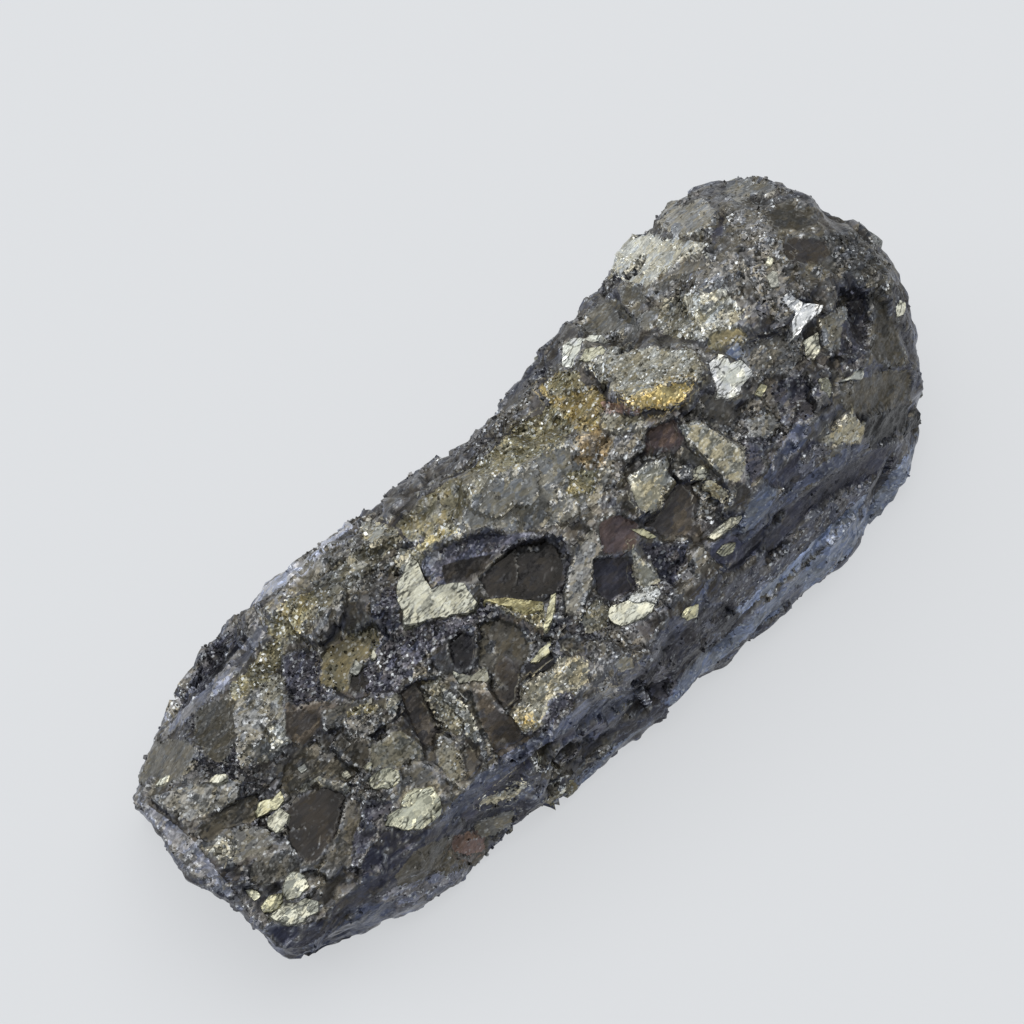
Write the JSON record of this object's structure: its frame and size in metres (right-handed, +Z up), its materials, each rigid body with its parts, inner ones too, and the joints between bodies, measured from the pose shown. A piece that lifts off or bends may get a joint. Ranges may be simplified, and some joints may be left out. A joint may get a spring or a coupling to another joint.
{
  "type": "rough pyrite",
  "caption": "Rough, broken lump of grown-together pyrite crystals, long and wedge-shaped, with a flat face to rest on.",
  "frame": {"origin": "middle of the lump's box in X and Y, on the flat face that it rests on", "axes": "+Z up, +X along the length towards the high, blunt end, -Y the side with the long steep wall"},
  "size_m": [0.0468, 0.018, 0.014],
  "materials": {
    "pyrite": "dark tarnished metallic ore with broken crystal faces, some pale gold and bright, some smooth and dark"
  },
  "bodies": {
    "root": {"rough_pyrite": "pyrite"}
  },
  "joints": []
}
